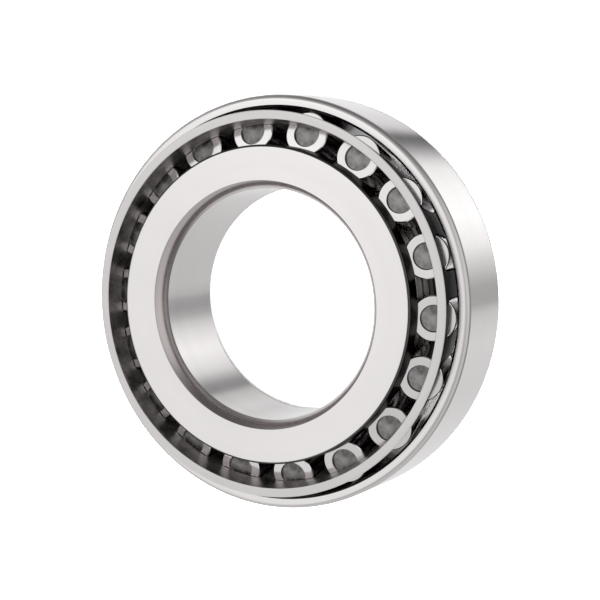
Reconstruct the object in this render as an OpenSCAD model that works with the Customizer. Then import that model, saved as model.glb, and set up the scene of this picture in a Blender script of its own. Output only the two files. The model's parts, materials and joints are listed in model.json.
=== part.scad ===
// Single-row tapered roller bearing: cup, cone, pressed cage and tapered rollers.
// +Z is the bearing's axis and points to the cone's back face.
// The origin is the centre of the cup's back face, on which the bearing lies.
// Every raceway and roller is a cone, and all those cones share one apex on the axis.

/* [Bearing] */
// Diameter of the cone's bore, which takes the shaft
bore_d = 50; // [44:0.5:60]
// Diameter over the cup, which the housing holds
outer_d = 90; // [80:0.5:108]
// Width over both rings, from the cup's back face to the cone's back face
overall_w = 24.75; // [21:0.25:32]
// How far the cone's back face stands above the cup's front face
cup_drop = 5.75; // [5:0.25:7]
// How far the cone's front face lies above the cup's back face
cone_rise = 1.75; // [1:0.25:3]
// Angle between the cup's raceway and the axis, in degrees
cup_angle = 15.64; // [13:0.01:18]

/* [Rings] */
// Wall of the cup at its front face, as a share of the ring space
cup_lip_share = 0.13; // [0.11:0.005:0.16]
// Chamfer at the mouth of the cup's raceway
cup_mouth = 0.4; // [0.2:0.05:0.6]
// Corner radius round the cup's front face
cup_front_round = 1.15; // [0.5:0.05:1.4]
// Corner radius round the cup's back face
cup_back_round = 1.5; // [0.8:0.1:2]
// Corner radius round the cone's back face
cone_back_round = 0.65; // [0.4:0.05:1]
// Width of the chamfer round the bore on the cone's back face
bore_chamfer_w = 1.75; // [1:0.05:2.2]
// Depth of the same chamfer down the bore
bore_chamfer_h = 2.95; // [1.5:0.05:3.5]
// How far the same chamfer is crowned out of a straight cone
bore_chamfer_crown = 0.25; // [0.1:0.05:0.3]
// Width of the chamfer round the bore on the cone's front face
front_chamfer_w = 0.95; // [0.6:0.05:1.2]
// Depth of the same chamfer up the bore
front_chamfer_h = 1.25; // [0.8:0.05:1.6]
// How far the large rib covers a roller's end, as a share of the roller's large-end diameter
large_rib_share = 0.165; // [0.1:0.005:0.22]
// How far the small rib stands above the raceway, as a share of the same diameter
small_rib_share = 0.12; // [0.08:0.005:0.15]
// Width of the small rib, measured at the raceway
small_rib_w = 3.5; // [3:0.1:4.5]
// Depth of the grinding grooves at both ends of the cone's raceway
groove = 0.3; // [0.2:0.05:0.4]
// Corner radius of the smaller edges of all pieces
edge_round = 0.2; // [0.1:0.05:0.25]

/* [Rollers] */
// Number of rollers
roller_count = 18; // [12:1:18]
// Large-end diameter of a roller, as a share of the ring space
roller_share = 0.492; // [0.42:0.002:0.5]
// How far below the cup's front face a roller's large end meets the raceway
roller_drop = 0.65; // [0.4:0.05:1.5]
// Chamfer at both ends of a roller
roller_chamfer = 0.25; // [0.2:0.05:0.6]
// Diameter of the recess in a roller's large end, as a share of that end
recess_share = 0.6; // [0.45:0.01:0.65]
// Depth of that recess
recess_h = 0.7; // [0.4:0.1:1.2]
// Diameter of the dimple in a roller's small end, as a share of that end
dimple_share = 0.5; // [0.3:0.05:0.6]

/* [Cage] */
// Sheet thickness, as a share of the roller's large-end diameter
cage_t_share = 0.196; // [0.15:0.002:0.21]
// How far the sheet's inner side lies outside the rollers' axes, as a share of the same diameter
cage_lift_share = 0.127; // [0.1:0.001:0.15]
// Radius in the corners of the cage's windows
window_round = 1.1; // [0.6:0.1:1.4]
// Outer radius of the bend between the cage's sheet and its flange
bend_round = 2.2; // [1.5:0.1:2.5]
// How far the cage's rim lies below the cone's back face
rim_drop = 1.3; // [1:0.1:2]

/* [Clearances] */
// Running gap between a roller and each raceway
race_gap = 0.1; // [0.06:0.01:0.15]
// Gap between a roller's large end and the cone's large rib
rib_gap = 0.12; // [0.08:0.01:0.2]
// Gap between a roller and its cage pocket, on every side
pocket_gap = 0.25; // [0.15:0.01:0.35]
// Gap between the cage's inner flange and the cone's small rib
flange_gap = 0.7; // [0.5:0.1:1.2]

/* [Hidden] */
$fn = 96;
bore_r = bore_d / 2;
outer_r = outer_d / 2;
ring_space = outer_r - bore_r;
cup_w = overall_w - cup_drop;

// the cup's raceway and the apex that all the cones share
cup_lip = cup_lip_share * ring_space;
race_r = outer_r - cup_lip;
apex_z = cup_w - race_r / tan(cup_angle);

// the roller's large end touches the cup's raceway at this distance from the apex
contact_reach = (cup_w - roller_drop - apex_z) / cos(cup_angle);
roller_d = roller_share * ring_space;
half_angle = asin(roller_d / 2 / contact_reach);
pitch_angle = cup_angle - half_angle;
cone_angle = pitch_angle - half_angle;

// both ends of the roller, measured from the apex along the roller's own axis
large_u = contact_reach * cos(half_angle);
small_u = (cone_rise + small_rib_w - apex_z) / cos(cone_angle) * cos(half_angle);

// the crowned chamfer round the bore: an arc over its chord, set out by the arc's two tangents
chamfer_half = norm([bore_chamfer_w, bore_chamfer_h]) / 2;
chamfer_r = (pow(chamfer_half, 2) + pow(bore_chamfer_crown, 2)) / (2 * bore_chamfer_crown);
chamfer_peak = chamfer_half * tan(asin(chamfer_half / chamfer_r));
chamfer_mid = [bore_r + bore_chamfer_w / 2, overall_w - bore_chamfer_h / 2];
chamfer_out = [-bore_chamfer_h, bore_chamfer_w] / (2 * chamfer_half);
arc_share = 0.9; // the arc's share of its tangents, which leaves room for the corners at its ends

// the ribs that keep the rollers on the cone
rib_face_u = large_u + rib_gap;
small_rib_u = small_u - pocket_gap;
large_rib_r = point(large_u, -roller_r(large_u))[0] + large_rib_share * roller_d;
small_rib_r = point(small_u, -roller_r(small_u))[0] + small_rib_share * roller_d;
groove_w = 3 * groove;

// the cage: its sheet lies outside the pitch cone, and a flange turns in below the rollers
cage_t = cage_t_share * roller_d;
sheet_in = cage_lift_share * roller_d;
sheet_out = sheet_in + cage_t;
rim_z = overall_w - rim_drop;
flange_u = small_u - 2 * pocket_gap;
flange_r = small_rib_r + flange_gap;

function roller_name(i) = str("roller_", i < 10 ? "0" : "", i);

// Nominal roller radius at distance u from the apex
function roller_r(u) = u * tan(half_angle);

// [radius, height] of the point at distance u along the pitch line and h outside it
function point(u, h) = [u * sin(pitch_angle) + h * cos(pitch_angle),
                        apex_z + u * cos(pitch_angle) - h * sin(pitch_angle)];

// The same line's crossing with a given radius, square to the roller's axis at u
function at_radius(u, r) = point(u, (r - u * sin(pitch_angle)) / cos(pitch_angle));

// The point at offset h that lies at a given height
function at_height(h, z) = point((z - apex_z + h * sin(pitch_angle)) / cos(pitch_angle), h);

// An outline point with the radius that rounds it
function corner(p, r) = [p[0], p[1], r];

// Outline from [x, y, corner radius] points, with each corner turned into an arc
steps = 4;
function flat(p) = [p[0], p[1]];
function unit(v) = v / norm(v);
function turn(a, b) = let(d = b - a) d > 180 ? d - 360 : d < -180 ? d + 360 : d;
function arc(centre, r, a, b) = [for (i = [0:steps])
    centre + r * [cos(a + turn(a, b) * i / steps), sin(a + turn(a, b) * i / steps)]];
function bend(before, p, after, r) =
    let(ua = unit(before - p), ub = unit(after - p), half = acos(ua * ub) / 2)
    let(centre = p + unit(ua + ub) * r / sin(half), reach = r / tan(half))
    let(from = p + ua * reach - centre, to = p + ub * reach - centre)
    arc(centre, r, atan2(from[1], from[0]), atan2(to[1], to[0]));
function rounded(pts) = [for (i = [0:len(pts) - 1])
    let(n = len(pts), p = pts[i], before = pts[(i + n - 1) % n], after = pts[(i + 1) % n])
    each (p[2] > 0 ? bend(flat(before), flat(p), flat(after), p[2]) : [flat(p)])];

module ring(outline) {
    rotate_extrude() polygon(rounded(outline));
}

// Stands a roller-shaped child on its own tilted axis, at roller place i
module on_roller_axis(i) {
    rotate([0, 0, 360 / roller_count * i])
        translate([0, 0, apex_z])
            rotate([0, pitch_angle, 0])
                children();
}

module cup() {
    mouth_z = cup_w - cup_mouth;
    color("gainsboro") ring([
        [race_r - cup_w * tan(cup_angle), 0, 2 * edge_round],
        [outer_r, 0, cup_back_round],
        [outer_r, cup_w, cup_front_round],
        [race_r + cup_mouth, cup_w, cup_mouth / 4],
        [race_r - cup_mouth * tan(cup_angle), mouth_z, cup_mouth / 4]
    ]);
}

module cone() {
    low_u = small_rib_u + groove_w;
    high_u = rib_face_u - groove_w;
    color("gainsboro") ring([
        [bore_r, cone_rise + front_chamfer_h, edge_round],
        [bore_r + front_chamfer_w, cone_rise, edge_round],
        [small_rib_r, cone_rise, 2 * edge_round],
        corner(at_radius(small_rib_u, small_rib_r), edge_round),
        corner(point(small_rib_u, -roller_r(small_rib_u) - groove), edge_round),
        corner(point(low_u, -roller_r(low_u) - groove), edge_round),
        corner(point(low_u + groove, -roller_r(low_u + groove)), 0),
        corner(point(high_u - groove, -roller_r(high_u - groove)), 0),
        corner(point(high_u, -roller_r(high_u) - groove), edge_round),
        corner(point(rib_face_u, -roller_r(rib_face_u) - groove), edge_round),
        corner(at_radius(rib_face_u, large_rib_r), edge_round),
        [large_rib_r, overall_w, cone_back_round],
        [bore_r + bore_chamfer_w, overall_w, edge_round],
        corner(chamfer_mid + chamfer_peak * chamfer_out, arc_share * chamfer_r),
        [bore_r, overall_w - bore_chamfer_h, cone_back_round]
    ]);
}

// The roller's own outline, with a forging recess in each end
module roller(i) {
    small_r = roller_r(small_u) - race_gap;
    large_r = roller_r(large_u) - race_gap;
    recess_r = recess_share * large_r;
    dimple_r = dimple_share * small_r;
    color("lightgray") on_roller_axis(i) ring([
        [0, small_u + recess_h / 2, 0],
        [dimple_r - recess_h / 2, small_u + recess_h / 2, 0],
        [dimple_r, small_u, 0],
        [small_r - roller_chamfer, small_u, edge_round],
        [small_r, small_u + roller_chamfer, edge_round],
        [large_r, large_u - roller_chamfer, edge_round],
        [large_r - roller_chamfer, large_u, edge_round],
        [recess_r, large_u, 0],
        [recess_r - recess_h / 4, large_u - recess_h, 0],
        [0, large_u - recess_h, 0]
    ]);
}

// One pocket: a roller's cone grown by the pocket gap, with rounded window corners
module pocket(i) {
    low_u = small_u - pocket_gap;
    high_u = large_u + pocket_gap;
    on_roller_axis(i) ring([
        [0, low_u, 0],
        [roller_r(low_u) + pocket_gap, low_u, window_round],
        [roller_r(high_u) + pocket_gap, high_u, window_round],
        [0, high_u, 0]
    ]);
}

module cage() {
    color("silver") difference() {
        ring([
            corner(at_height(sheet_in, rim_z), edge_round),
            corner(point(flange_u, sheet_in), bend_round / 4),
            corner(at_radius(flange_u, flange_r), edge_round),
            corner(at_radius(flange_u - cage_t, flange_r), edge_round),
            corner(point(flange_u - cage_t, sheet_out), bend_round),
            corner(at_height(sheet_out, rim_z), edge_round)
        ]);
        for (i = [0:roller_count - 1]) pocket(i);
    }
}

cup();
cone();
cage();
for (i = [1:roller_count]) roller(i - 1);
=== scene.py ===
import json
import math

import bmesh
import bpy
from mathutils import Matrix, Vector


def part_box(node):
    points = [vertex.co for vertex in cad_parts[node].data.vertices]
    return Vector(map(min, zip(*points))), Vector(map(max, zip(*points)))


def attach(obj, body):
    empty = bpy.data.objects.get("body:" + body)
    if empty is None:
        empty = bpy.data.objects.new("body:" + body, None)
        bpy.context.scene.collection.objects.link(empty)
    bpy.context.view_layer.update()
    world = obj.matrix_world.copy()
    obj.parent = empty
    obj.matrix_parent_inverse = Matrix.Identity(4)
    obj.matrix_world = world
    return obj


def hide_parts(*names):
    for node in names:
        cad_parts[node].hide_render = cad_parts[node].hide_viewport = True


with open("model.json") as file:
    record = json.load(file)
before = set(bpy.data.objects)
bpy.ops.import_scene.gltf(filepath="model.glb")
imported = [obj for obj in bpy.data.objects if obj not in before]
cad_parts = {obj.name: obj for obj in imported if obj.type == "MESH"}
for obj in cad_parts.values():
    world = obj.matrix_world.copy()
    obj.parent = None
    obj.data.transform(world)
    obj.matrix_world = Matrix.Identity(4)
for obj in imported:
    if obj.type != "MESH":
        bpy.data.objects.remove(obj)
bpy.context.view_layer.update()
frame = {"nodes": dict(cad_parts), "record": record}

# A single-row tapered roller bearing: a cup, a cone, a pressed cage and a ring of rollers.
# It lies on the cup's back face, with its axis along Z and the cone's back face upwards.

# ---------------------------------------------------------------- sizes
MM = 0.001
cup_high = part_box("cup")[1]
cone_low, cone_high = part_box("cone")
cage_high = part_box("cage")[1]
mounts = {mount["name"]: mount for mount in frame["record"]["mounts"]}
joints = {joint["name"]: joint for joint in frame["record"]["behaviour"]["joints"]}

OUTER_R = cup_high[0]
CUP_W = cup_high[2]
CONE_FRONT = cone_low[2]
CONE_BACK = cone_high[2]
BORE_R = mounts["bore"]["dims"]["r_mm"] * MM

# The rollers' axes all cross the bearing's axis at the apex
large_end = joints["roller_01_spin"]["pos_m"]
roller_axis = joints["roller_01_spin"]["axis"]
ROLLERS = [name for name in frame["nodes"] if name.startswith("roller_")]
PITCH_ANGLE = math.atan2(roller_axis[0], roller_axis[2])
LARGE_U = large_end[0] / math.sin(PITCH_ANGLE)
APEX_Z = large_end[2] - LARGE_U * math.cos(PITCH_ANGLE)
CUP_ANGLE = math.radians(15.64)
HALF_ANGLE = CUP_ANGLE - PITCH_ANGLE
CONE_ANGLE = PITCH_ANGLE - HALF_ANGLE
ROLLER_D = 2 * LARGE_U * math.tan(HALF_ANGLE)

# Ring details
CUP_MOUTH = 0.4 * MM
CUP_FRONT_ROUND = 1.15 * MM
CUP_BACK_ROUND = 1.5 * MM
CONE_BACK_ROUND = 0.65 * MM
BORE_CHAMFER_W = 1.75 * MM
BORE_CHAMFER_H = 2.95 * MM
BORE_CHAMFER_CROWN = 0.25 * MM
CROWN_ROUND_SHARE = 0.9
FRONT_CHAMFER_W = 0.95 * MM
FRONT_CHAMFER_H = 1.25 * MM
SMALL_RIB_W = 3.5 * MM
SMALL_RIB_RISE = 0.12 * ROLLER_D
GROOVE = 0.3 * MM
EDGE_ROUND = 0.2 * MM
RING_SEGMENTS = 256

# Clearances
RACE_GAP = 0.1 * MM
RIB_GAP = 0.12 * MM
POCKET_GAP = 0.25 * MM
FLANGE_GAP = 0.7 * MM

# Rollers: a recess in the large end and a dimple in the small end
ROLLER_CHAMFER = 0.25 * MM
RECESS_H = 0.7 * MM
RECESS_DRAFT = RECESS_H / 4
RECESS_SHARE = 0.6
RECESS_EDGE_ROUND = 0.04 * MM
RECESS_FLOOR_ROUND = 0.12 * MM
FLOOR_CENTRE_SHARE = 0.3
DIMPLE_H = RECESS_H / 2
DIMPLE_SHARE = 0.5
DIMPLE_FLOOR_ROUND = 0.1 * MM
ROLLER_SEGMENTS = 72

# Cage: the sheet's inner side lies SHEET_IN outside the rollers' axes
SHEET_T = 0.196 * ROLLER_D
SHEET_IN = 0.127 * ROLLER_D
SHEET_OUT = SHEET_IN + SHEET_T
WINDOW_ROUND = 1.1 * MM
BEND_ROUND = 2.2 * MM
INNER_BEND_ROUND = BEND_ROUND / 10
RIM_Z = cage_high[2]
RIM_U = LARGE_U + 1 * MM
SHEET_EDGE_BREAK = 0.12 * MM

# Points nearer to each other than SAME_PLACE are one point, and FACE_SLACK is the margin for a face's place
SAME_PLACE = 0.001 * MM
FACE_SLACK = 0.01 * MM


def roller_r(u):
    """Nominal roller radius at distance u from the apex."""
    return u * math.tan(HALF_ANGLE)


def point(u, h):
    """(radius, height) at distance u along the rollers' axis and h outside it."""
    s, c = math.sin(PITCH_ANGLE), math.cos(PITCH_ANGLE)
    return (u * s + h * c, APEX_Z + u * c - h * s)


def at_radius(u, r):
    """The point of the plane across the roller's axis at u that lies at radius r."""
    return point(u, (r - u * math.sin(PITCH_ANGLE)) / math.cos(PITCH_ANGLE))


def at_height(h, z):
    """The point at offset h that lies at height z."""
    u = (z - APEX_Z + h * math.sin(PITCH_ANGLE)) / math.cos(PITCH_ANGLE)
    return point(u, h)


SMALL_CONTACT = CONE_FRONT + SMALL_RIB_W - APEX_Z
SMALL_U = SMALL_CONTACT / math.cos(CONE_ANGLE) * math.cos(HALF_ANGLE)
LARGE_RIB_R = cone_high[0]
SMALL_RIB_R = point(SMALL_U, -roller_r(SMALL_U))[0] + SMALL_RIB_RISE
contact_r, contact_z = point(LARGE_U, roller_r(LARGE_U))
RACE_R = contact_r + (CUP_W - contact_z) * math.tan(CUP_ANGLE)


# ---------------------------------------------------------------- outlines
def rounded(corners, steps=6):
    """Outline from (x, y, radius) corners, with each corner turned into an arc."""
    out = []
    for i, (x, y, radius) in enumerate(corners):
        if radius <= 0:
            out.append((x, y))
            continue
        here = Vector((x, y))
        before = (Vector(corners[i - 1][:2]) - here).normalized()
        after = (Vector(corners[(i + 1) % len(corners)][:2]) - here).normalized()
        half = math.acos(max(-1, min(1, before.dot(after)))) / 2
        centre = here + (before + after).normalized() * radius / math.sin(half)
        start = here + before * radius / math.tan(half) - centre
        end = here + after * radius / math.tan(half) - centre
        first = math.atan2(start.y, start.x)
        sweep = (math.atan2(end.y, end.x) - first + math.pi) % (2 * math.pi) - math.pi
        for k in range(steps + 1):
            a = first + sweep * k / steps
            out.append((centre.x + radius * math.cos(a), centre.y + radius * math.sin(a)))
    return out


def cup_outline():
    """The cup: its back face, outside, front face and mouth, closed by the raceway."""
    slope = math.tan(CUP_ANGLE)
    return rounded([
        (RACE_R - CUP_W * slope, 0, 2 * EDGE_ROUND),
        (OUTER_R, 0, CUP_BACK_ROUND),
        (OUTER_R, CUP_W, CUP_FRONT_ROUND),
        (RACE_R + CUP_MOUTH, CUP_W, CUP_MOUTH / 4),
        (RACE_R - CUP_MOUTH * slope, CUP_W - CUP_MOUTH, CUP_MOUTH / 4),
    ])


def crowned_chamfer():
    """The corner that crowns the chamfer round the bore, as (radius, height, rounding)."""
    half = math.hypot(BORE_CHAMFER_W, BORE_CHAMFER_H) / 2
    crown_r = (half**2 + BORE_CHAMFER_CROWN**2) / (2 * BORE_CHAMFER_CROWN)
    peak = half * math.tan(math.asin(half / crown_r))
    out = Vector((-BORE_CHAMFER_H, BORE_CHAMFER_W)) / (2 * half)
    middle = Vector((BORE_R + BORE_CHAMFER_W / 2, CONE_BACK - BORE_CHAMFER_H / 2)) + peak * out
    return middle.x, middle.y, CROWN_ROUND_SHARE * crown_r


def cone_outline():
    """The cone: its front face, small rib, raceway between two grooves, large rib, back face and bore."""
    foot_u = SMALL_U - POCKET_GAP
    face_u = LARGE_U + RIB_GAP
    low_u, high_u = foot_u + 3 * GROOVE, face_u - 3 * GROOVE

    def race(u):
        return (*point(u, -roller_r(u)), 0)

    def sunk(u):
        return (*point(u, -roller_r(u) - GROOVE), EDGE_ROUND)

    return rounded([
        (BORE_R, CONE_FRONT + FRONT_CHAMFER_H, EDGE_ROUND),
        (BORE_R + FRONT_CHAMFER_W, CONE_FRONT, EDGE_ROUND),
        (SMALL_RIB_R, CONE_FRONT, 2 * EDGE_ROUND),
        (*at_radius(foot_u, SMALL_RIB_R), EDGE_ROUND),
        sunk(foot_u),
        sunk(low_u),
        race(low_u + GROOVE),
        race(high_u - GROOVE),
        sunk(high_u),
        sunk(face_u),
        (*at_radius(face_u, LARGE_RIB_R), EDGE_ROUND),
        (LARGE_RIB_R, CONE_BACK, CONE_BACK_ROUND),
        (BORE_R + BORE_CHAMFER_W, CONE_BACK, EDGE_ROUND),
        crowned_chamfer(),
        (BORE_R, CONE_BACK - BORE_CHAMFER_H, CONE_BACK_ROUND),
    ])


def recess_r():
    """Radius of the recess in a roller's large end."""
    return RECESS_SHARE * (roller_r(LARGE_U) - RACE_GAP)


def dimple_r():
    """Radius of the dimple in a roller's small end."""
    return DIMPLE_SHARE * (roller_r(SMALL_U) - RACE_GAP)


def roller_outline():
    """Radius and height from the roller's large end, along its own axis."""
    foot = SMALL_U - LARGE_U
    small_r = roller_r(SMALL_U) - RACE_GAP
    large_r = roller_r(LARGE_U) - RACE_GAP
    floor_r = recess_r() - RECESS_DRAFT
    return [
        (0, foot + DIMPLE_H),
        *rounded([
            (dimple_r() - DIMPLE_H, foot + DIMPLE_H, DIMPLE_FLOOR_ROUND),
            (dimple_r(), foot, RECESS_EDGE_ROUND),
            (small_r - ROLLER_CHAMFER, foot, EDGE_ROUND),
            (small_r, foot + ROLLER_CHAMFER, EDGE_ROUND),
            (large_r, -ROLLER_CHAMFER, EDGE_ROUND),
            (large_r - ROLLER_CHAMFER, 0, EDGE_ROUND),
            (recess_r(), 0, RECESS_EDGE_ROUND),
            (floor_r, -RECESS_H, RECESS_FLOOR_ROUND),
            (FLOOR_CENTRE_SHARE * floor_r, -RECESS_H, 0),
        ], steps=3),
        (0, -RECESS_H),
    ]


# ---------------------------------------------------------------- meshes
def finish_mesh(name, bm):
    """Turns a bmesh into a smoothly shaded object."""
    bmesh.ops.recalc_face_normals(bm, faces=bm.faces)
    for face in bm.faces:
        face.smooth = True
    mesh = bpy.data.meshes.new(name)
    bm.to_mesh(mesh)
    bm.free()
    obj = bpy.data.objects.new(name, mesh)
    bpy.context.collection.objects.link(obj)
    return obj


def keep_flats(obj):
    """Lets the large faces set the shading, so that the small rounded edges carry the bend."""
    even = obj.modifiers.new("even_shading", "WEIGHTED_NORMAL")
    even.mode = "FACE_AREA"
    even.weight = 80


def turned(name, outline, segments, closed=True):
    """A turned piece: the outline spun round Z. An open outline starts and ends on the axis."""
    bm = bmesh.new()
    rings = []
    for r, z in outline:
        if r == 0:
            rings.append([bm.verts.new((0, 0, z))])
            continue
        rings.append([
            bm.verts.new((r * math.cos(a), r * math.sin(a), z))
            for a in (2 * math.pi * k / segments for k in range(segments))
        ])
    pairs = list(zip(rings, rings[1:]))
    if closed:
        pairs.append((rings[-1], rings[0]))
    for low, high in pairs:
        for k in range(segments):
            n = k + 1
            around = [low[k % len(low)], low[n % len(low)], high[n % len(high)], high[k % len(high)]]
            around = list(dict.fromkeys(around))
            if len(around) > 2:
                bm.faces.new(around)
    return finish_mesh(name, bm)


def window_half_angle(u, h):
    """Half the angle that a cage window takes up, at distance u and offset h of the sheet.

    The window's sides lie on a cone round the roller's axis, POCKET_GAP outside the roller's nominal one.
    """
    r, z = point(u, h)
    rise = z - APEX_Z
    reach2 = r * r + rise * rise
    t = math.tan(HALF_ANGLE)
    root = math.sqrt((t * POCKET_GAP) ** 2 + (1 + t * t) * (reach2 - POCKET_GAP**2))
    along = (root - t * POCKET_GAP) / (1 + t * t)
    across = (along - rise * math.cos(PITCH_ANGLE)) / (r * math.sin(PITCH_ANGLE))
    return math.acos(max(-1, min(1, across)))


def window_rows(h, bars=6, bends=5):
    """Rows up one side of a window: (u, half angle), with rounded corners at both ends."""
    low, high = SMALL_U - POCKET_GAP, LARGE_U + POCKET_GAP
    drops = [WINDOW_ROUND * (1 - math.cos(math.pi / 2 * k / bends)) for k in range(bends + 1)]
    length = high - low - 2 * WINDOW_ROUND
    us = [low + d for d in drops]
    us += [low + WINDOW_ROUND + length * k / bars for k in range(1, bars)]
    us += [high - d for d in reversed(drops)]
    rows = []
    for u in us:
        near = min(u - low, high - u, WINDOW_ROUND)
        cut = WINDOW_ROUND - math.sqrt(WINDOW_ROUND**2 - (WINDOW_ROUND - near) ** 2)
        rows.append((u, window_half_angle(u, h) - cut / point(u, h)[0]))
    return rows


def cage_rows():
    """The cage's outline in rows of (radius, height, window half angle or None).

    It goes up the sheet's inner side, over the rim, down the outer side and round the flange. The two
    counts that follow are of the rows beside the window, on one side, and of the rows of the rim.
    """
    window_foot_u = SMALL_U - POCKET_GAP
    flange_u = SMALL_U - 2 * POCKET_GAP
    flange_r = SMALL_RIB_R + FLANGE_GAP
    inner = window_rows(SHEET_IN)
    outer = window_rows(SHEET_OUT)
    rim = rounded([
        (*point(RIM_U, SHEET_IN), 0),
        (*at_height(SHEET_IN, RIM_Z), EDGE_ROUND),
        (*at_height(SHEET_OUT, RIM_Z), EDGE_ROUND),
        (*point(RIM_U, SHEET_OUT), 0),
    ], steps=3)
    flange = rounded([
        (*point(window_foot_u, SHEET_OUT), 0),
        (*point(flange_u - SHEET_T, SHEET_OUT), BEND_ROUND),
        (*at_radius(flange_u - SHEET_T, flange_r), EDGE_ROUND),
        (*at_radius(flange_u, flange_r), EDGE_ROUND),
        (*point(flange_u, SHEET_IN), INNER_BEND_ROUND),
        (*point(window_foot_u, SHEET_IN), 0),
    ])[1:-1]
    rows = [(*point(u, SHEET_IN), half) for u, half in inner]
    rows += [(r, z, None) for r, z in rim]
    rows += [(*point(u, SHEET_OUT), half) for u, half in reversed(outer)]
    rows += [(r, z, None) for r, z in flange]
    return rows, len(inner), len(rim)


def build_cage(bar_cols=4, window_cols=8):
    """The pressed cage: one sheet with a window for each roller, a plain rim and a flange turned in."""
    bm = bmesh.new()
    rows, inner_count, rim_count = cage_rows()
    outer_start = inner_count + rim_count
    outer_end = outer_start + inner_count - 1
    half_pitch = math.pi / len(ROLLERS)
    end_half = rows[0][2]
    cols = 2 * bar_cols + window_cols
    hole = range(bar_cols, bar_cols + window_cols)

    def in_window(i):
        return i < inner_count - 1 or outer_start <= i < outer_end

    for k in range(len(ROLLERS)):
        middle = 2 * half_pitch * k
        grid = []
        for r, z, half in rows:
            w = end_half if half is None else half
            angles = [-half_pitch + (half_pitch - w) * j / bar_cols for j in range(bar_cols)]
            angles += [-w + 2 * w * j / window_cols for j in range(window_cols)]
            angles += [w + (half_pitch - w) * j / bar_cols for j in range(bar_cols + 1)]
            grid.append([
                bm.verts.new((r * math.cos(middle + a), r * math.sin(middle + a), z))
                for a in angles
            ])
        for i, row in enumerate(grid):
            above = grid[(i + 1) % len(grid)]
            for j in range(cols):
                if not (in_window(i) and j in hole):
                    bm.faces.new((row[j], row[j + 1], above[j + 1], above[j]))
        # the window's four walls join the sheet's inner and outer sides
        first, last = hole[0], hole[-1] + 1
        for i in range(inner_count - 1):
            near, near_up = grid[i], grid[i + 1]
            far, far_up = grid[outer_end - i], grid[outer_end - 1 - i]
            for j in (first, last):
                bm.faces.new((near[j], near_up[j], far_up[j], far[j]))
        for near, far in ((grid[0], grid[outer_end]), (grid[inner_count - 1], grid[outer_start])):
            for j in hole:
                bm.faces.new((near[j], near[j + 1], far[j + 1], far[j]))
    bmesh.ops.remove_doubles(bm, verts=bm.verts, dist=SAME_PLACE)
    return finish_mesh("pressed_cage", bm)


def soften_edges(obj, width):
    """Breaks the sharp edges of a pressed piece."""
    edge = obj.modifiers.new("broken_edges", "BEVEL")
    edge.width = width
    edge.segments = 2
    edge.limit_method = "ANGLE"
    edge.angle_limit = math.radians(50)
    keep_flats(obj)


# ---------------------------------------------------------------- finishes
# A noise texture stays mostly between these two values, and a tone mixed from two of them between the others
NOISE_RANGE = (0.3, 0.7)
TONE_RANGE = (0.35, 0.65)
# Shares of the ground bands and of the handling patches in the tone of a finish
BAND_SHARE = 0.3
PATCH_SHARE = 0.7


def group(name, inputs, outputs):
    """A node group with named sockets, and its input and output nodes."""
    tree = bpy.data.node_groups.new(name, "ShaderNodeTree")
    for label, kind, value in inputs:
        socket = tree.interface.new_socket(name=label, in_out="INPUT", socket_type=kind)
        if value is not None:
            socket.default_value = value
    for label, kind in outputs:
        tree.interface.new_socket(name=label, in_out="OUTPUT", socket_type=kind)
    return tree, tree.nodes.new("NodeGroupInput"), tree.nodes.new("NodeGroupOutput")


def maths(tree, operation, a, b=None):
    """The result of one Math node. a and b are numbers or sockets."""
    node = tree.nodes.new("ShaderNodeMath")
    node.operation = operation
    for socket, value in zip(node.inputs, (a, b)):
        if isinstance(value, (int, float)):
            socket.default_value = value
        elif value is not None:
            tree.links.new(value, socket)
    return node.outputs[0]


def noise(tree, vector, scale, detail, roughness):
    """A noise texture's value. scale is a number or a socket."""
    node = tree.nodes.new("ShaderNodeTexNoise")
    tree.links.new(vector, node.inputs["Vector"])
    if isinstance(scale, (int, float)):
        node.inputs["Scale"].default_value = scale
    else:
        tree.links.new(scale, node.inputs["Scale"])
    node.inputs["Detail"].default_value = detail
    node.inputs["Roughness"].default_value = roughness
    return node.outputs["Fac"]


def make_ground_lines():
    """Fine lines that run round a turned or ground piece, seen from its own axis."""
    tree, given, made = group(
        "ground_lines",
        [("Place", "NodeSocketVector", None), ("Lines per metre", "NodeSocketFloat", 3000.0),
         ("Length of line", "NodeSocketFloat", 3.0)],
        [("Lines", "NodeSocketFloat"), ("Bands", "NodeSocketFloat")],
    )
    split = tree.nodes.new("ShaderNodeSeparateXYZ")
    tree.links.new(given.outputs["Place"], split.inputs[0])
    x, y, z = split.outputs
    square = maths(tree, "ADD", maths(tree, "MULTIPLY", x, x), maths(tree, "MULTIPLY", y, y))
    radius = maths(tree, "SQRT", square)
    safe = maths(tree, "MAXIMUM", radius, 0.01 * MM)
    across = maths(tree, "MULTIPLY", maths(tree, "ADD", radius, z), given.outputs["Lines per metre"])
    place = tree.nodes.new("ShaderNodeCombineXYZ")
    for socket, side in zip(place.inputs, (x, y)):
        way = maths(tree, "DIVIDE", side, safe)
        tree.links.new(maths(tree, "MULTIPLY", way, given.outputs["Length of line"]), socket)
    tree.links.new(across, place.inputs[2])
    lines = noise(tree, place.outputs[0], scale=1.0, detail=3.0, roughness=0.6)
    bands = noise(tree, place.outputs[0], scale=0.08, detail=1.0, roughness=0.4)
    tree.links.new(lines, made.inputs["Lines"])
    tree.links.new(bands, made.inputs["Bands"])
    return tree


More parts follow.
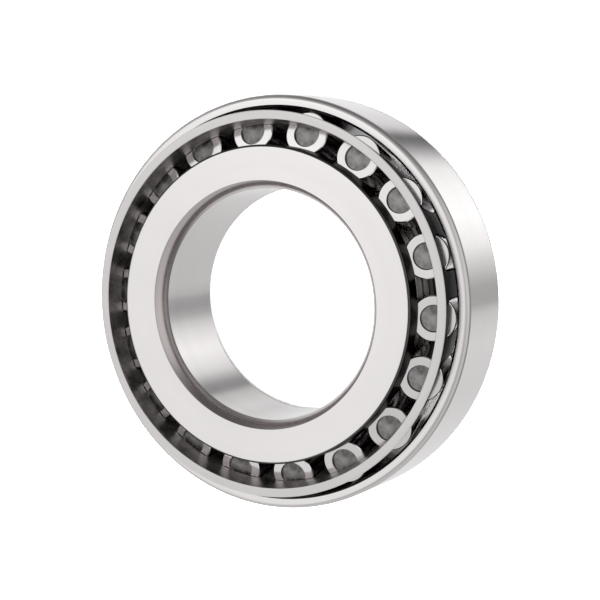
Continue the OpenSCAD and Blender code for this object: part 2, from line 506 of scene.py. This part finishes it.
def make_handling():
    """Soft patches that oil and handling leave on bare steel, and fine specks."""
    tree, given, made = group(
        "handling",
        [("Place", "NodeSocketVector", None), ("Patch scale", "NodeSocketFloat", 60.0),
         ("Speck scale", "NodeSocketFloat", 1500.0)],
        [("Patches", "NodeSocketFloat"), ("Specks", "NodeSocketFloat")],
    )
    place, patch_scale, speck_scale = given.outputs[:3]
    tree.links.new(noise(tree, place, patch_scale, detail=3.0, roughness=0.55), made.inputs["Patches"])
    tree.links.new(noise(tree, place, speck_scale, detail=2.0, roughness=0.6), made.inputs["Specks"])
    return tree


GROUND_LINES = make_ground_lines()
HANDLING = make_handling()


def span(tree, value, low, high, given=NOISE_RANGE):
    """value, spread from the given range to low..high."""
    node = tree.nodes.new("ShaderNodeMapRange")
    tree.links.new(value, node.inputs["Value"])
    for label, number in zip(("From Min", "From Max", "To Min", "To Max"), (*given, low, high)):
        node.inputs[label].default_value = number
    return node.outputs["Result"]


def blend_colour(tree, factor, dark, light):
    """A colour between dark, where factor is 0, and light, where it is 1."""
    node = tree.nodes.new("ShaderNodeMix")
    node.data_type = "RGBA"
    tree.links.new(factor, node.inputs["Factor"])
    node.inputs["A"].default_value = (*dark, 1)
    node.inputs["B"].default_value = (*light, 1)
    return node.outputs["Result"]


def steel(name, dark, light, rough, lines=(5000, 4), line_bump=1.2e-7, patches=(40, 0.03),
          specks=(1500, 0.0), edge_tint=1.0):
    """Bare steel between two colours.

    rough is the (low, high) roughness across its lines, and lines is (lines per metre, length of line).
    line_bump is the height of the lines in metres.
    patches is (scale, change of roughness) of handling marks, and specks is (scale, height).
    edge_tint darkens what the steel mirrors at a flat angle; below 1 it is painted shade, for surfaces deep
    in the bearing's gaps.
    """
    material = bpy.data.materials.new(name)
    material.use_nodes = True
    tree = material.node_tree
    shader = tree.nodes["Principled BSDF"]
    shader.inputs["Metallic"].default_value = 1.0
    shader.inputs["Specular Tint"].default_value = (edge_tint, edge_tint, edge_tint, 1)
    place = tree.nodes.new("ShaderNodeTexCoord").outputs["Object"]
    grain = tree.nodes.new("ShaderNodeGroup")
    grain.node_tree = GROUND_LINES
    grain.inputs["Lines per metre"].default_value = lines[0]
    grain.inputs["Length of line"].default_value = lines[1]
    touch = tree.nodes.new("ShaderNodeGroup")
    touch.node_tree = HANDLING
    touch.inputs["Patch scale"].default_value = patches[0]
    touch.inputs["Speck scale"].default_value = specks[0]
    for node in (grain, touch):
        tree.links.new(place, node.inputs["Place"])
    tone = maths(tree, "ADD", maths(tree, "MULTIPLY", grain.outputs["Bands"], BAND_SHARE),
                 maths(tree, "MULTIPLY", touch.outputs["Patches"], PATCH_SHARE))
    colour = blend_colour(tree, span(tree, tone, 0, 1, TONE_RANGE), dark, light)
    tree.links.new(colour, shader.inputs["Base Color"])
    uneven = maths(tree, "ADD", span(tree, grain.outputs["Lines"], rough[0], rough[1]),
                   span(tree, touch.outputs["Patches"], -patches[1], patches[1]))
    tree.links.new(uneven, shader.inputs["Roughness"])
    height = maths(tree, "ADD", maths(tree, "MULTIPLY", grain.outputs["Lines"], line_bump),
                   maths(tree, "MULTIPLY", touch.outputs["Specks"], specks[1]))
    bump = tree.nodes.new("ShaderNodeBump")
    bump.inputs["Distance"].default_value = 1.0
    bump.inputs["Strength"].default_value = 1.0
    tree.links.new(height, bump.inputs["Height"])
    tree.links.new(bump.outputs[0], shader.inputs["Normal"])
    return material


def grey(tone, warmth=1.0):
    """The slightly warm grey of bearing steel."""
    return (tone, (1 - 0.030 * warmth) * tone, (1 - 0.037 * warmth) * tone)


def finishes():
    """The bearing's finishes, by name. The raceways, the rib sides and the cage's outer side are darkened as
    painted shade.
    """
    return {
        "ground face": steel("ground_face", grey(0.77), grey(0.82), rough=(0.20, 0.26)),
        "ground outside": steel("ground_outside", grey(0.76), grey(0.80), rough=(0.08, 0.13)),
        "cup round": steel("turned_round", grey(0.52), grey(0.58), rough=(0.30, 0.38)),
        "bore": steel("honed_bore", grey(0.65), grey(0.70), rough=(0.10, 0.15)),
        "bore chamfer": steel("turned_chamfer", grey(0.42, 2.5), grey(0.48, 2.5), rough=(0.20, 0.26),
                              lines=(3000, 5), line_bump=1e-7),
        # The raceways are made dark grey, with darkened edges: painted shade for the narrow gaps between the
        # rings and the rollers.
        "raceway": steel("raceway_painted_shade", grey(0.38), grey(0.44), rough=(0.09, 0.13),
                         line_bump=5e-8, edge_tint=0.4),
        "turned": steel("turned_and_hardened", grey(0.23), grey(0.27), rough=(0.22, 0.28),
                        lines=(3000, 5), line_bump=1e-7),
        # The rib sides are made nearly black, with darkened edges: painted shade for the narrow slot beside
        # the roller ends.
        "rib side": steel("rib_side_painted_shade", grey(0.07, 3), grey(0.10, 3), rough=(0.25, 0.32),
                          lines=(3000, 5), line_bump=1e-7, edge_tint=0.5),
        "roller": steel("superfinished_roller", grey(0.78), grey(0.83), rough=(0.12, 0.18),
                        lines=(9000, 3), line_bump=1e-7),
        "recess": steel("forged_recess", grey(0.16), grey(0.54), rough=(0.40, 0.55),
                        lines=(1400, 1.5), line_bump=1.2e-5, patches=(520, 0.1), specks=(1800, 8e-6)),
        "sheet inside": steel("pressed_sheet_inside", grey(0.24, 2), grey(0.64, 2), rough=(0.36, 0.56),
                              lines=(1500, 1), line_bump=3e-7, patches=(330, 0.08), specks=(1500, 1e-6)),
        # The cage's outer side is made nearly black, far darker than its inner side: painted shade for the
        # gap between the cage and the cup.
        "sheet outside": steel("sheet_outside_painted_shade", grey(0.05, 2), grey(0.08, 2), rough=(0.26, 0.38),
                               lines=(1500, 1), line_bump=3e-7, patches=(150, 0.06), specks=(1500, 1e-6),
                               edge_tint=0.3),
        "cut rim": steel("cut_sheet_edge", grey(0.65), grey(0.72), rough=(0.34, 0.44),
                         lines=(2500, 2), line_bump=4e-7, patches=(90, 0.05), specks=(1500, 1e-6)),
    }


# ---------------------------------------------------------------- assembly
# The Z part of a face's normal is over FLAT_FACE on a flat ring face, under STRAIGHT_WALL on a straight
# wall, and within SAME_SLOPE of a raceway's own on that raceway
FLAT_FACE = 0.95
STRAIGHT_WALL = 0.02
SAME_SLOPE = 0.01


def dress(obj, node, body):
    """Lets a piece stand for its CAD node and ride on its body."""
    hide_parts(node)
    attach(obj, body)


def faces_out(centre, normal):
    """True where a face looks away from the bearing's axis."""
    return normal.x * centre.x + normal.y * centre.y > 0


def cup_finish(centre, normal):
    """The finish of a face of the cup, from its place and the way it faces."""
    if abs(normal.z) > FLAT_FACE:
        return "ground face"
    if faces_out(centre, normal):
        return "ground outside" if abs(normal.z) < STRAIGHT_WALL else "cup round"
    return "raceway" if abs(normal.z - math.sin(CUP_ANGLE)) < SAME_SLOPE else "turned"


def cone_finish(centre, normal):
    """The finish of a face of the cone."""
    if abs(normal.z) > FLAT_FACE:
        return "ground face"
    if not faces_out(centre, normal):
        return "bore" if abs(normal.z) < STRAIGHT_WALL else "bore chamfer"
    return "raceway" if abs(normal.z + math.sin(CONE_ANGLE)) < SAME_SLOPE else "rib side"


def cage_finish(centre, normal):
    """The finish of a face of the cage: the cut edge at the rim, or one side of its sheet, with the outer
    side darkened as painted shade.
    """
    if centre.z > RIM_Z - EDGE_ROUND:
        return "cut rim"
    return "sheet outside" if faces_out(centre, normal) else "sheet inside"


def roller_finish(centre, normal):
    """The finish of a face of a roller: the recess and the dimple are as forged."""
    out = math.hypot(centre.x, centre.y)
    foot = SMALL_U - LARGE_U
    sunk = out < recess_r() and -RECESS_H - FACE_SLACK < centre.z < -FACE_SLACK
    dimpled = out < dimple_r() and foot + FACE_SLACK < centre.z < foot + RECESS_H
    return "recess" if sunk or dimpled else "roller"


def give_finishes(obj, finish, choose):
    """Gives every face of a piece the finish that choose names for its centre and normal."""
    slots = []
    for face in obj.data.polygons:
        name = choose(face.center, face.normal)
        if name not in slots:
            slots.append(name)
            obj.data.materials.append(finish[name])
        face.material_index = slots.index(name)


def build_rings(finish):
    """The cup and the cone."""
    cup = turned("ground_cup", cup_outline(), RING_SEGMENTS)
    give_finishes(cup, finish, cup_finish)
    keep_flats(cup)
    dress(cup, "cup", "cup")
    cone = turned("ground_cone", cone_outline(), RING_SEGMENTS)
    give_finishes(cone, finish, cone_finish)
    keep_flats(cone)
    dress(cone, "cone", "cone")


def build_pressed_cage(finish):
    """The cage, with the bright cut edge of its sheet at the rim."""
    cage = build_cage()
    give_finishes(cage, finish, cage_finish)
    soften_edges(cage, SHEET_EDGE_BREAK)
    dress(cage, "cage", "cage")


def build_rollers(finish):
    """One turned roller, set on its own tilted axis at every place round the cone."""
    pattern = turned("tapered_roller_01", roller_outline(), ROLLER_SEGMENTS, closed=False)
    give_finishes(pattern, finish, roller_finish)
    keep_flats(pattern)
    for i, name in enumerate(ROLLERS):
        obj = pattern
        if i:
            obj = pattern.copy()
            obj.name = "tapered_" + name
            bpy.context.collection.objects.link(obj)
        joint = joints[name + "_spin"]
        tilt = Vector((0, 0, 1)).rotation_difference(Vector(joint["axis"]))
        obj.matrix_world = Matrix.Translation(joint["pos_m"]) @ tilt.to_matrix().to_4x4()
        dress(obj, name, name)


# ---------------------------------------------------------------- studio
# The camera's aim lies beside the axis by shares of the outer diameter, at a share of the whole height
AIM_X = 0.031 * 2 * OUTER_R
AIM_Y = 0.005 * 2 * OUTER_R
AIM_Z = 0.485 * CONE_BACK
CAMERA_TURN = math.radians(13.34)
CAMERA_RISE = math.radians(63.09)
CAMERA_ROLL = math.radians(-99.67)
CAMERA_DISTANCE = 4.035 * 2 * OUTER_R
CAMERA_LENS = 99.17

# Brightness of the tent, once round the bearing from -180 to 180 degrees, as (azimuth, brightness).
# The first band lies steeply below, where the cup's outside looks, and the next is the one that the
# bore mirrors. Then come the low band, under the horizon, and the level band, at the horizon.
TENT_BELOW = [(-180, 0.90), (-107, 0.79), (-64, 0.73), (-32, 0.78), (-18, 0.70), (-13, 0.64), (-9, 0.43),
              (3, 0.46), (10, 0.61), (20, 0.83), (29, 1.07), (48, 1.29), (62, 1.23), (76, 1.11), (83, 1.04),
              (89, 0.84), (96, 0.50), (103, 0.24), (109, 0.12), (112, 0.20), (116, 0.56), (122, 0.77),
              (135, 0.83), (148, 0.90), (180, 0.90)]
TENT_UNDER = [(-180, 0.90), (-130, 0.76), (-64, 0.73), (-20, 0.74), (-10, 0.66), (-5, 0.50), (3, 0.47),
              (11, 0.60), (18, 0.86), (26, 1.05), (41, 1.27), (48, 1.29), (63, 1.10), (71, 0.94), (78, 0.64),
              (85, 0.39), (94, 0.34), (98, 0.55), (102, 0.72), (116, 0.83), (124, 0.89), (139, 0.80),
              (155, 0.84), (180, 0.90)]
TENT_LOW = [(-180, 1.2), (-150, 1.15), (-130, 1.1), (-90, 1.0), (-45, 0.35), (0, 0.24), (30, 0.28),
            (60, 0.3), (90, 0.3), (120, 0.4), (140, 0.8), (160, 1.1), (180, 1.2)]
TENT_LEVEL = [(-180, 1.0), (-160, 1.0), (-130, 0.95), (-90, 0.9), (-45, 0.9), (-22, 1.0), (20, 1.15),
              (42, 1.0), (52, 0.45), (70, 0.16), (110, 0.18), (140, 0.5), (165, 0.9), (180, 1.0)]
# Brightness overhead along X, from -1 over the top, 0, to 1, and its share along Y
TENT_ABOVE = [(-1, 0.3), (-0.78, 0.45), (-0.66, 0.93), (-0.53, 1.03), (-0.42, 1.13), (-0.3, 1.05),
              (-0.15, 0.86), (0.1, 0.80), (0.35, 0.80), (1, 0.85)]
TENT_ACROSS = [(-1, 0.70), (-0.5, 0.78), (-0.39, 0.84), (-0.26, 0.87), (-0.1, 0.945), (0.06, 1.04),
               (0.19, 1.14), (0.28, 1.19), (0.37, 1.14), (0.43, 0.92), (0.55, 0.82), (1, 0.8)]
# Each band gives way to the next between two heights, where -1 is straight down and 1 straight up
UNDER_JOIN = (-0.905, -0.885)
LOW_JOIN = (-0.82, -0.70)
LEVEL_JOIN = (-0.36, -0.05)
ABOVE_JOIN = (0.42, 0.62)
# No stop of the tent is brighter than this
TENT_LIMIT = 4.0

FLOOR_HALF = 100 * OUTER_R
FLOOR_DROP = 0.02 * MM
LIGHT_PLACE = Vector((2, -2, 9)) * OUTER_R
LIGHT_SIZE = 8 * OUTER_R
LIGHT_POWER = 12.0


def make_camera():
    """A long lens above the cone's back face, turned so that the bearing seems to stand on its rim."""
    aim = Vector((AIM_X, AIM_Y, AIM_Z))
    flat = math.cos(CAMERA_RISE)
    back = Vector((flat * math.cos(CAMERA_TURN), flat * math.sin(CAMERA_TURN), math.sin(CAMERA_RISE)))
    data = bpy.data.cameras.new("camera")
    data.lens = CAMERA_LENS
    data.sensor_width = 36
    data.clip_start = 0.01
    camera = bpy.data.objects.new("camera", data)
    camera.rotation_mode = "QUATERNION"
    camera.location = aim + back * CAMERA_DISTANCE
    roll = Matrix.Rotation(CAMERA_ROLL, 3, "Z").to_quaternion()
    camera.rotation_quaternion = back.to_track_quat("Z", "Y") @ roll
    bpy.context.collection.objects.link(camera)
    bpy.context.scene.camera = camera


def make_tent():
    """A tent round the bearing in five bands, from below to overhead. The camera itself sees plain white."""
    world = bpy.data.worlds.new("tent")
    bpy.context.scene.world = world
    world.use_nodes = True
    tree = world.node_tree
    split = tree.nodes.new("ShaderNodeSeparateXYZ")
    tree.links.new(tree.nodes.new("ShaderNodeTexCoord").outputs["Generated"], split.inputs[0])
    x, y, z = split.outputs

    def ramp(value, stops, low, high):
        """The brightness at value, from stops whose places lie between low and high."""
        node = tree.nodes.new("ShaderNodeValToRGB")
        tree.links.new(span(tree, value, 0, 1, (low, high)), node.inputs["Fac"])
        line = node.color_ramp
        while len(line.elements) < len(stops):
            line.elements.new(0.5)
        for element, (place, tone) in zip(line.elements, stops):
            element.position = (place - low) / (high - low)
            share = tone / TENT_LIMIT
            element.color = (share, share, share, 1)
        return maths(tree, "MULTIPLY", node.outputs["Color"], TENT_LIMIT)

    def join(lower, upper, heights):
        """The lower band up to the first of two heights, and the upper one from the second."""
        share = span(tree, z, 0, 1, heights)
        rest = maths(tree, "SUBTRACT", 1, share)
        return maths(tree, "ADD", maths(tree, "MULTIPLY", lower, rest), maths(tree, "MULTIPLY", upper, share))

    around = maths(tree, "MULTIPLY", maths(tree, "ARCTAN2", y, x), 180 / math.pi)
    overhead = maths(tree, "MULTIPLY", ramp(x, TENT_ABOVE, -1, 1), ramp(y, TENT_ACROSS, -1, 1))
    tent = ramp(around, TENT_BELOW, -180, 180)
    for stops, heights in ((TENT_UNDER, UNDER_JOIN), (TENT_LOW, LOW_JOIN), (TENT_LEVEL, LEVEL_JOIN)):
        tent = join(tent, ramp(around, stops, -180, 180), heights)
    tent = join(tent, overhead, ABOVE_JOIN)

    lit = tree.nodes["Background"]
    tree.links.new(tent, lit.inputs["Color"])
    plain = tree.nodes.new("ShaderNodeBackground")
    plain.inputs["Color"].default_value = (1, 1, 1, 1)
    mix = tree.nodes.new("ShaderNodeMixShader")
    tree.links.new(tree.nodes.new("ShaderNodeLightPath").outputs["Is Camera Ray"], mix.inputs["Fac"])
    tree.links.new(lit.outputs[0], mix.inputs[1])
    tree.links.new(plain.outputs[0], mix.inputs[2])
    tree.links.new(mix.outputs[0], tree.nodes["World Output"].inputs["Surface"])


def make_floor():
    """A pale table just below the cup's back face, which the steel doesn't mirror."""
    bm = bmesh.new()
    bmesh.ops.create_grid(bm, x_segments=1, y_segments=1, size=FLOOR_HALF)
    floor = finish_mesh("floor", bm)
    floor.location.z = -FLOOR_DROP
    material = bpy.data.materials.new("pale_table")
    material.use_nodes = True
    shader = material.node_tree.nodes["Principled BSDF"]
    shader.inputs["Base Color"].default_value = (0.9, 0.9, 0.9, 1)
    shader.inputs["Roughness"].default_value = 0.9
    floor.data.materials.append(material)
    floor.visible_glossy = False


def make_light():
    """A large soft light over the table, which the steel doesn't mirror."""
    data = bpy.data.lights.new("table_light", "AREA")
    data.shape = "DISK"
    data.size = LIGHT_SIZE
    data.energy = LIGHT_POWER
    light = bpy.data.objects.new("table_light", data)
    light.location = LIGHT_PLACE
    light.rotation_mode = "QUATERNION"
    light.rotation_quaternion = LIGHT_PLACE.to_track_quat("Z", "Y")
    light.visible_glossy = False
    bpy.context.collection.objects.link(light)


finish = finishes()
build_rings(finish)
build_pressed_cage(finish)
build_rollers(finish)
make_camera()
make_tent()
make_floor()
make_light()
bpy.context.scene.view_settings.view_transform = "Standard"
